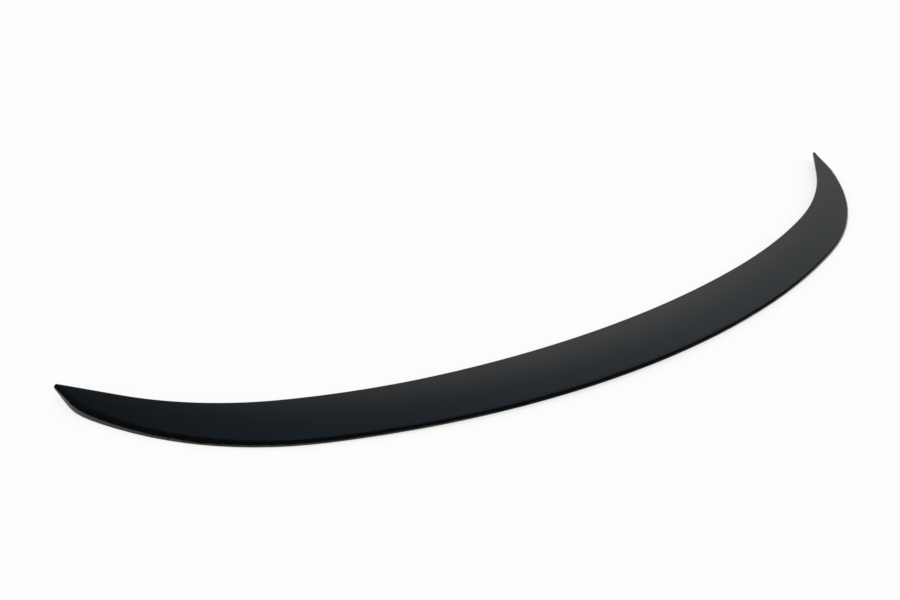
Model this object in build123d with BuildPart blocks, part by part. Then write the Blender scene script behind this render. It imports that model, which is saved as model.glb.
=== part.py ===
"""Car rear spoiler: one moulded lip for the trailing edge of a boot lid, in millimetres.

X runs across the car, Y points forward and Z up. The lip is drawn as it lies on a table, with its
lowest edge at Z = 0 and the middle of its outline on the Z axis.
"""

import os
from math import cos, radians, sin, tan

from build123d import *

# Plan of the crescent
span = 1200.0  # from tip to tip
chord = 79.8  # from the leading edge to the rear wall on the centre line
tip_width = 4.8  # width left at the blunt tips

# Leading edge: a wide arc, a tighter arc, a bend and a straight run to the tip.
# Each heading is measured in degrees from straight across the car.
lead_wide_share = 0.367  # where the wide arc ends, as a share of half the span
lead_wide_heading = 9.9
lead_tight_share = 0.661  # where the tighter arc ends
lead_tight_heading = 21.2
tip_bend_radius = 430.0
tip_heading = 44.7

# Rear wall: a wide arc, a tighter arc, an arc to the corner and a straight end cut to the tip
rear_wide_share = 0.638  # where the wide arc ends
rear_wide_heading = 21.4
rear_tight_share = 0.9  # where the tighter arc ends
rear_tight_heading = 49.0
end_cut_length = 43.7
end_cut_heading = 74.9
corner_radius = 14.0  # rounding between the rear wall and the end cut

# Heights and section
lead_height = 10.1  # top of the leading edge above the table, on the centre line
tip_rise = 5.2  # how much higher the leading edge stands at the tips
top_slope_mid = 1.4  # fall of the top from leading edge to crest, degrees, on the centre line
top_slope_end = 12.4  # the same at the tips
camber = 6.0  # how far the top is turned up at its crest, degrees
crest_share = 0.8  # setback of the rounded crest, as a share of the rear wall's height
wall_lean_mid = 17.0  # forward lean of the rear wall, degrees, on the centre line
wall_lean_end = 3.0  # the same at the tips
lip_arch = 3.1  # how far the lower lip lifts off the table in the middle
lip_climb_power = 1.5  # how late the lower lip climbs along the end cut; 1 is an even climb
lip_chamfer = 0.4  # under the rear wall
nose = 3.2  # thickness of the leading edge
nose_round = 1.4  # rounding on top of the leading edge
tip_drop = 0.4  # how far the blunt tips reach below the leading edge
skin = 2.6  # thickness of the top
wall = 3.0  # thickness of the rear wall and the end walls
inner_chamfer = 1.0  # inside, between the top and the rear wall
bead = 4.0  # width of the thicker bead under the leading edge
solid_tip = 24.0  # length of each tip that is left solid

stations = 15  # sections drawn on each side of the centre line

half = span / 2
foot = 3 * wall  # level underside of the solid tips, cut back to the wall where the blade is hollow
hollow_depth = 2 * lead_height  # enough to open the hollow downwards everywhere


def arc_radius(x_from, heading_from, x_to, heading_to):
    """Radius of the arc that turns between two headings over a stretch across the car."""
    return (x_to - x_from) / (sin(radians(heading_to)) - sin(radians(heading_from)))


def ahead(angle):
    """Unit vector along a heading."""
    return Vector(cos(radians(angle)), sin(radians(angle)))


# Half outline in plan, from the centre line to the tip. The rear wall starts at the origin, and the
# leading edge is drawn a little past the tip, so that every section meets it.
lead_wide_end = half * lead_wide_share
lead_tight_end = half * lead_tight_share
with BuildLine() as lead:
    wide = JernArc(
        (0, chord), (1, 0), arc_radius(0, 0, lead_wide_end, lead_wide_heading), lead_wide_heading
    )
    tight = JernArc(
        wide @ 1,
        wide % 1,
        arc_radius(lead_wide_end, lead_wide_heading, lead_tight_end, lead_tight_heading),
        lead_tight_heading - lead_wide_heading,
    )
    bend = JernArc(tight @ 1, tight % 1, tip_bend_radius, tip_heading - lead_tight_heading)
    tip_across = ahead(tip_heading - 90) * tip_width
    run = (half - tip_across.X - (bend @ 1).X) / cos(radians(tip_heading))
    Line(bend @ 1, bend @ 1 + ahead(tip_heading) * (run + tip_width))

tip = bend @ 1 + ahead(tip_heading) * run + tip_across
end_corner = tip - ahead(end_cut_heading) * end_cut_length
rear_wide_end = half * rear_wide_share
rear_tight_end = half * rear_tight_share
with BuildLine() as rear:
    wide = JernArc(
        (0, 0), (1, 0), arc_radius(0, 0, rear_wide_end, rear_wide_heading), rear_wide_heading
    )
    tight = JernArc(
        wide @ 1,
        wide % 1,
        arc_radius(rear_wide_end, rear_wide_heading, rear_tight_end, rear_tight_heading),
        rear_tight_heading - rear_wide_heading,
    )
    TangentArc(tight @ 1, end_corner, tangent=tight % 1)
    Line(end_corner, tip)
    fillet(rear.vertices().sort_by_distance(end_corner)[0], corner_radius)

lead_wire = lead.wire()
rear_wire = rear.wire()


def facing(point, heading):
    """Point of the leading edge that lies square across from a point of the rear wall."""
    near, far = 0.0, 1.0
    for _ in range(40):
        share = (near + far) / 2
        if (lead_wire @ share - point).dot(heading) < 0:
            near = share
        else:
            far = share
    return lead_wire @ near


# Where the rear wall ends and the end cut begins
wall_length = sum(edge.length for edge in rear.edges().sort_by(Axis.Y)[:-2])
wall_end = rear_wire.position_at(wall_length, PositionMode.LENGTH)
end_heading = rear_wire.tangent_at(wall_length, PositionMode.LENGTH)
end_chord = (facing(wall_end, end_heading) - wall_end).length
middle = facing(tip, end_heading).Y / 2  # half the depth of the outline


class Station:
    """One cross-section: its plane, and the corners that its rounded outline is drawn around."""

    def __init__(self, distance):
        along = abs(distance)
        side = 1 if distance >= 0 else -1
        point = rear_wire.position_at(along, PositionMode.LENGTH)
        heading = rear_wire.tangent_at(min(along, wall_length), PositionMode.LENGTH)
        self.plane = Plane(
            origin=(side * point.X, point.Y - middle, 0),
            x_dir=(-side * heading.Y, heading.X, 0),
            z_dir=(heading.X, side * heading.Y, 0),
        )
        self.chord = (facing(point, heading) - point).length
        self.taper = min(self.chord / end_chord, 1)

        # Towards the tips the leading edge rises, the top falls more steeply and the wall stands upright
        outward = (along / rear_wire.length) ** 2
        height = lead_height + tip_rise * outward
        slope = top_slope_mid + (top_slope_end - top_slope_mid) * outward
        lean = wall_lean_mid + (wall_lean_end - wall_lean_mid) * outward
        self.front = Vector(self.chord - nose_round, height)
        self.nose_foot = Vector(self.chord, height - nose)

        # The lower lip arches over the middle and climbs along the end cut
        past = max(along - wall_length, 0) / (rear_wire.length - wall_length)
        self.lip = lip_arch * (1 - min(point.X / wall_end.X, 1) ** 2) ** 2
        self.lip += (self.nose_foot.Y - tip_drop) * past**lip_climb_power

        # The top and the rear wall meet in the corner that the crest rounds off
        self.chamfer = lip_chamfer * self.taper
        rise = height - self.front.X * tan(radians(slope)) - self.lip
        self.crest = Vector((rise - self.chamfer) * tan(radians(lean)), self.lip + rise)
        self.setback = crest_share * min(rise, self.front.X)
        self.climb = ahead(slope + camber)
        self.up = ahead(90 - lean)


def spread(length):
    """Stations out to a length along the rear wall on both sides, closer together at the ends."""
    counts = range(-stations, stations + 1)
    return [Station(length * sin(radians(90 * count / stations))) for count in counts]


with BuildPart() as hollow:
    for place in spread(rear_wire.length - solid_tip):
        with BuildSketch(place.plane):
            with BuildLine():
                sharpness = place.climb.cross(place.up).Z
                corner = place.crest + (place.climb * wall - place.up * skin) * (1 / sharpness)
                bead_back = place.chord - bead
                back = Line(corner - place.up * hollow_depth, corner - place.up * inner_chamfer)
                inner = Line(back @ 1, corner + place.climb * inner_chamfer)
                ceiling = TangentArc(
                    inner @ 1, (bead_back, place.front.Y - skin), tangent=place.climb
                )
                front = Line(ceiling @ 1, (bead_back, (back @ 0).Y))
                Line(front @ 1, back @ 0)
            make_face()
    loft()

with BuildPart() as spoiler:
    for place in spread(rear_wire.length):
        with BuildSketch(place.plane):
            with BuildLine():
                back = Line((0, place.lip + place.chamfer), place.crest - place.up * place.setback)
                crest = Bezier(back @ 1, place.crest, place.crest + place.climb * place.setback)
                top = TangentArc(crest @ 1, place.front, tangent=place.climb)
                corner = place.front + (top % 1) * (nose_round / (top % 1).X)
                brow = Bezier(top @ 1, corner, corner - Vector(0, nose_round))
                front = Line(brow @ 1, place.nose_foot)
                under = Line(front @ 1, (foot * place.taper, place.lip))
                level = Line(under @ 1, (place.chamfer, place.lip))
                Line(level @ 1, back @ 0)
            make_face()
    loft()
    add(hollow.part, mode=Mode.SUBTRACT)

spoiler.part.label = "spoiler"
os.makedirs("parts", exist_ok=True)
export_step(spoiler.part, "parts/spoiler.step")
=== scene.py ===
from math import cos, log, radians, sin

import bpy
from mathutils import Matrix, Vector

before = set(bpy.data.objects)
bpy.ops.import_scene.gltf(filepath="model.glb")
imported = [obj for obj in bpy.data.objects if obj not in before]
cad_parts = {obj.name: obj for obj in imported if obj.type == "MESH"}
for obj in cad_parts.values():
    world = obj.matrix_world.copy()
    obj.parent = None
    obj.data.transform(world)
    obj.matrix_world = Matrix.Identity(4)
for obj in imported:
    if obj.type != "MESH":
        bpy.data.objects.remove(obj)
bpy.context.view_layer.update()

# Camera, fitted to the photograph's outline; lengths in metres, angles in degrees
IMAGE_WIDTH = 900  # pixels
FOCAL_PIXELS = 920
SENSOR_WIDTH = 36  # millimetres
AZIMUTH = -31.02  # about Z, from straight behind the lip
ELEVATION = 32.82
DISTANCE = 1.1628
AIM = Vector((-0.1336, 0.0911, 0))

# Gloss black plastic: a faint mottle between two tones, and a polish that varies and waves a little
PLASTIC_IOR = 1.5
BLACK_TONES = ((0.0008, 0.0009, 0.0011, 1), (0.0011, 0.0012, 0.0014, 1))
MOTTLE_NOISE = {"Scale": 40.0, "Detail": 4.0}
ROUGHNESS = {"To_Min": 0.05, "To_Max": 0.09}
POLISH_NOISE = {"Scale": 12.0, "Detail": 3.0}
WAVINESS = {"Strength": 0.03, "Distance": 0.0004}
WAVE_NOISE = {"Scale": 260.0, "Detail": 1.0}

# White floor
FLOOR_REACH = 6.0  # metres to each side
FLOOR_TONES = ((0.94, 0.94, 0.94, 1), (0.98, 0.98, 0.98, 1))
FLOOR_NOISE = {"Scale": 8.0}
FLOOR_WHITE = 1.0  # what the camera and mirrors see of it
FLOOR_SHADOW_SHARE = 0.3  # how much of that white takes the shadow

# Soft light that the gloss mirrors: a low neutral glow beyond the lip, as the camera sees it, a cool
# one high up, and one on the right, which the crest mirrors. Two soft edges end all three: one keeps
# them to the far half of the sky, and one leaves out a round patch on the near side. A white card
# stands low on that side, where the rear wall mirrors it, with a dim wall beside it, and a faint
# fill comes from all round. Angles are in degrees.
LOW_GLOW = {
    "azimuth": 55.2,
    "elevation": 23.9,
    "spread": 15.5,
    "strength": 0.50,
    "color": (1, 1, 0.96),
}
HIGH_GLOW = {
    "azimuth": 23.3,
    "elevation": 72.3,
    "spread": 26.8,
    "strength": 0.37,
    "color": (0.42, 0.71, 1),
}
CREST_GLOW = {
    "azimuth": -5.9,
    "elevation": 30.6,
    "spread": 23.6,
    "strength": 0.45,
    "color": (1, 1, 1),
}
FAR_EDGE = {"azimuth": 80.7, "elevation": 40.9, "full_to": 68.7, "none_from": 82.7}
NEAR_EDGE = {"azimuth": 34.7, "elevation": -34.6, "full_to": 129.3, "none_from": 135}
CARD = {
    "strength": 1,
    "width": {"azimuth": -110, "elevation": 0, "full_to": 25, "none_from": 38},
    "height": {"azimuth": 0, "elevation": -90, "full_to": 93, "none_from": 99},
}
DIM_WALL = {
    "strength": 0.15,
    "width": {"azimuth": -72, "elevation": 0, "full_to": 30, "none_from": 48},
    "height": {"azimuth": 0, "elevation": -90, "full_to": 95, "none_from": 112},
}
FILL = 0.05

EVEN_LIGHT = 1.0  # what falls on everything else
WHITE = (1, 1, 1, 1)


def direction(azimuth, elevation):
    """Unit vector from angles in degrees; azimuth runs from +X towards +Y."""
    azimuth, elevation = radians(azimuth), radians(elevation)
    return Vector((cos(azimuth) * cos(elevation), sin(azimuth) * cos(elevation), sin(elevation)))


def add_camera():
    """Camera at the photograph's angle."""
    data = bpy.data.cameras.new("camera")
    data.sensor_width = SENSOR_WIDTH
    data.lens = SENSOR_WIDTH * FOCAL_PIXELS / IMAGE_WIDTH
    camera = bpy.data.objects.new("camera", data)
    back = direction(AZIMUTH - 90, ELEVATION)
    camera.location = AIM + DISTANCE * back
    camera.rotation_euler = back.to_track_quat("Z", "Y").to_euler()
    bpy.context.scene.collection.objects.link(camera)
    bpy.context.scene.camera = camera


class Nodes:
    """Node tree of a material or the world, with short calls to add nodes and links."""

    def __init__(self, owner):
        owner.use_nodes = True
        self.tree = owner.node_tree
        self.tree.nodes.clear()

    def add(self, kind, **settings):
        """Add a node; settings are its properties, or its inputs by name."""
        node = self.tree.nodes.new("ShaderNode" + kind)
        for name, value in settings.items():
            if hasattr(node, name):
                setattr(node, name, value)
            else:
                node.inputs[name.replace("_", " ")].default_value = value
        return node

    def link(self, source, target):
        """Link an output socket to an input socket."""
        self.tree.links.new(source, target)


def add_noise(nodes, settings):
    """Noise over the object's own coordinates; its output."""
    place = nodes.add("TexCoord")
    noise = nodes.add("TexNoise", **settings)
    nodes.link(place.outputs["Object"], noise.inputs["Vector"])
    return noise.outputs["Fac"]


def add_tones(nodes, settings, tones):
    """Colour that noise varies between two tones; its output."""
    ramp = nodes.add("ValToRGB")
    for stop, tone in zip(ramp.color_ramp.elements, tones):
        stop.color = tone
    nodes.link(add_noise(nodes, settings), ramp.inputs["Fac"])
    return ramp.outputs["Color"]


def gloss_black():
    """Gloss black plastic: a deep, faintly mottled black with a mirror finish and soft waviness."""
    material = bpy.data.materials.new("gloss_black")
    nodes = Nodes(material)
    shader = nodes.add("BsdfPrincipled", IOR=PLASTIC_IOR)
    nodes.link(add_tones(nodes, MOTTLE_NOISE, BLACK_TONES), shader.inputs["Base Color"])

    polish = nodes.add("MapRange", **ROUGHNESS)
    nodes.link(add_noise(nodes, POLISH_NOISE), polish.inputs["Value"])
    nodes.link(polish.outputs["Result"], shader.inputs["Roughness"])

    waves = nodes.add("Bump", **WAVINESS)
    nodes.link(add_noise(nodes, WAVE_NOISE), waves.inputs["Height"])
    nodes.link(waves.outputs["Normal"], shader.inputs["Normal"])

    output = nodes.add("OutputMaterial")
    nodes.link(shader.outputs["BSDF"], output.inputs["Surface"])
    return material


def floor_white():
    """White table, which reads white to the camera and in mirrors, and keeps a soft shadow."""
    material = bpy.data.materials.new("floor")
    nodes = Nodes(material)
    matte = nodes.add("BsdfDiffuse")
    nodes.link(add_tones(nodes, FLOOR_NOISE, FLOOR_TONES), matte.inputs["Color"])

    white = nodes.add("Emission", Strength=FLOOR_WHITE)
    shown = nodes.add("MixShader", Fac=FLOOR_SHADOW_SHARE)
    nodes.link(white.outputs["Emission"], shown.inputs[1])
    nodes.link(matte.outputs["BSDF"], shown.inputs[2])

    ray = nodes.add("LightPath")
    seen = ray.outputs["Is Camera Ray"]
    for kind in ("Is Glossy Ray", "Is Transmission Ray"):
        either = nodes.add("Math", operation="MAXIMUM")
        nodes.link(seen, either.inputs[0])
        nodes.link(ray.outputs[kind], either.inputs[1])
        seen = either.outputs["Value"]
    surface = nodes.add("MixShader")
    nodes.link(seen, surface.inputs["Fac"])
    nodes.link(matte.outputs["BSDF"], surface.inputs[1])
    nodes.link(shown.outputs["Shader"], surface.inputs[2])
    output = nodes.add("OutputMaterial")
    nodes.link(surface.outputs["Shader"], output.inputs["Surface"])
    return material


def add_floor():
    """Plain floor that the lip lies on."""
    mesh = bpy.data.meshes.new("floor")
    corners = ((-1, -1), (1, -1), (1, 1), (-1, 1))
    points = [(x * FLOOR_REACH, y * FLOOR_REACH, 0) for x, y in corners]
    mesh.from_pydata(points, [], [(0, 1, 2, 3)])
    mesh.materials.append(floor_white())
    floor = bpy.data.objects.new("floor", mesh)
    bpy.context.scene.collection.objects.link(floor)


def add_cosine(nodes, azimuth, elevation):
    """Cosine of the angle between a ray and a direction; its output."""
    place = nodes.add("TexCoord")
    cosine = nodes.add("VectorMath", operation="DOT_PRODUCT")
    cosine.inputs[1].default_value = direction(azimuth, elevation)
    nodes.link(place.outputs["Generated"], cosine.inputs[0])
    return cosine.outputs["Value"]


def add_share(nodes, azimuth, elevation, full_to, none_from):
    """1 for rays up to one angle from a direction, falling to 0 at another; its output."""
    share = nodes.add("MapRange", interpolation_type="SMOOTHSTEP")
    share.inputs["From Min"].default_value = cos(radians(none_from))
    share.inputs["From Max"].default_value = cos(radians(full_to))
    nodes.link(add_cosine(nodes, azimuth, elevation), share.inputs["Value"])
    return share.outputs["Result"]


def add_glow(nodes, azimuth, elevation, spread, strength, color):
    """Light of one colour that fades away from one direction; its shader output."""
    # strength * exp((cosine - 1) / spread ** 2), which is close to a bell curve over the angle
    steepness = radians(spread) ** -2
    fall = nodes.add("Math", operation="MULTIPLY_ADD")
    fall.inputs[1].default_value = steepness
    fall.inputs[2].default_value = log(strength) - steepness
    nodes.link(add_cosine(nodes, azimuth, elevation), fall.inputs[0])
    bell = nodes.add("Math", operation="EXPONENT")
    nodes.link(fall.outputs["Value"], bell.inputs[0])
    light = nodes.add("Background", Color=(*color, 1))
    nodes.link(bell.outputs["Value"], light.inputs["Strength"])
    return light.outputs["Background"]


def add_card(nodes, strength, width, height):
    """Upright card on the floor, as wide and high as two soft edges say; its shader output."""
    area = nodes.add("Math", operation="MULTIPLY")
    nodes.link(add_share(nodes, **width), area.inputs[0])
    nodes.link(add_share(nodes, **height), area.inputs[1])
    card = nodes.add("Background", Color=(strength, strength, strength, 1))
    nodes.link(area.outputs["Value"], card.inputs["Strength"])
    return card.outputs["Background"]


def add_both(nodes, first, second):
    """Sum of two shader outputs; its shader output."""
    total = nodes.add("AddShader")
    nodes.link(first, total.inputs[0])
    nodes.link(second, total.inputs[1])
    return total.outputs["Shader"]


def add_studio():
    """Even white light all round; the gloss mirrors the glows, the cards and the fill instead."""
    world = bpy.data.worlds.new("studio")
    nodes = Nodes(world)
    light = add_glow(nodes, **LOW_GLOW)
    for glow in (HIGH_GLOW, CREST_GLOW):
        light = add_both(nodes, light, add_glow(nodes, **glow))
    for edge in (FAR_EDGE, NEAR_EDGE):
        inside = nodes.add("MixShader")
        nodes.link(add_share(nodes, **edge), inside.inputs["Fac"])
        nodes.link(light, inside.inputs[2])
        light = inside.outputs["Shader"]
    for card in (CARD, DIM_WALL):
        light = add_both(nodes, light, add_card(nodes, **card))
    fill = nodes.add("Background", Color=WHITE, Strength=FILL)
    mirrored = add_both(nodes, light, fill.outputs["Background"])

    even = nodes.add("Background", Color=WHITE, Strength=EVEN_LIGHT)
    ray = nodes.add("LightPath")
    sky = nodes.add("MixShader")
    nodes.link(ray.outputs["Is Glossy Ray"], sky.inputs["Fac"])
    nodes.link(even.outputs["Background"], sky.inputs[1])
    nodes.link(mirrored, sky.inputs[2])
    output = nodes.add("OutputWorld")
    nodes.link(sky.outputs["Shader"], output.inputs["Surface"])
    bpy.context.scene.world = world


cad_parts["spoiler"].material_slots[0].material = gloss_black()
add_camera()
add_floor()
add_studio()
bpy.context.scene.view_settings.view_transform = "Standard"
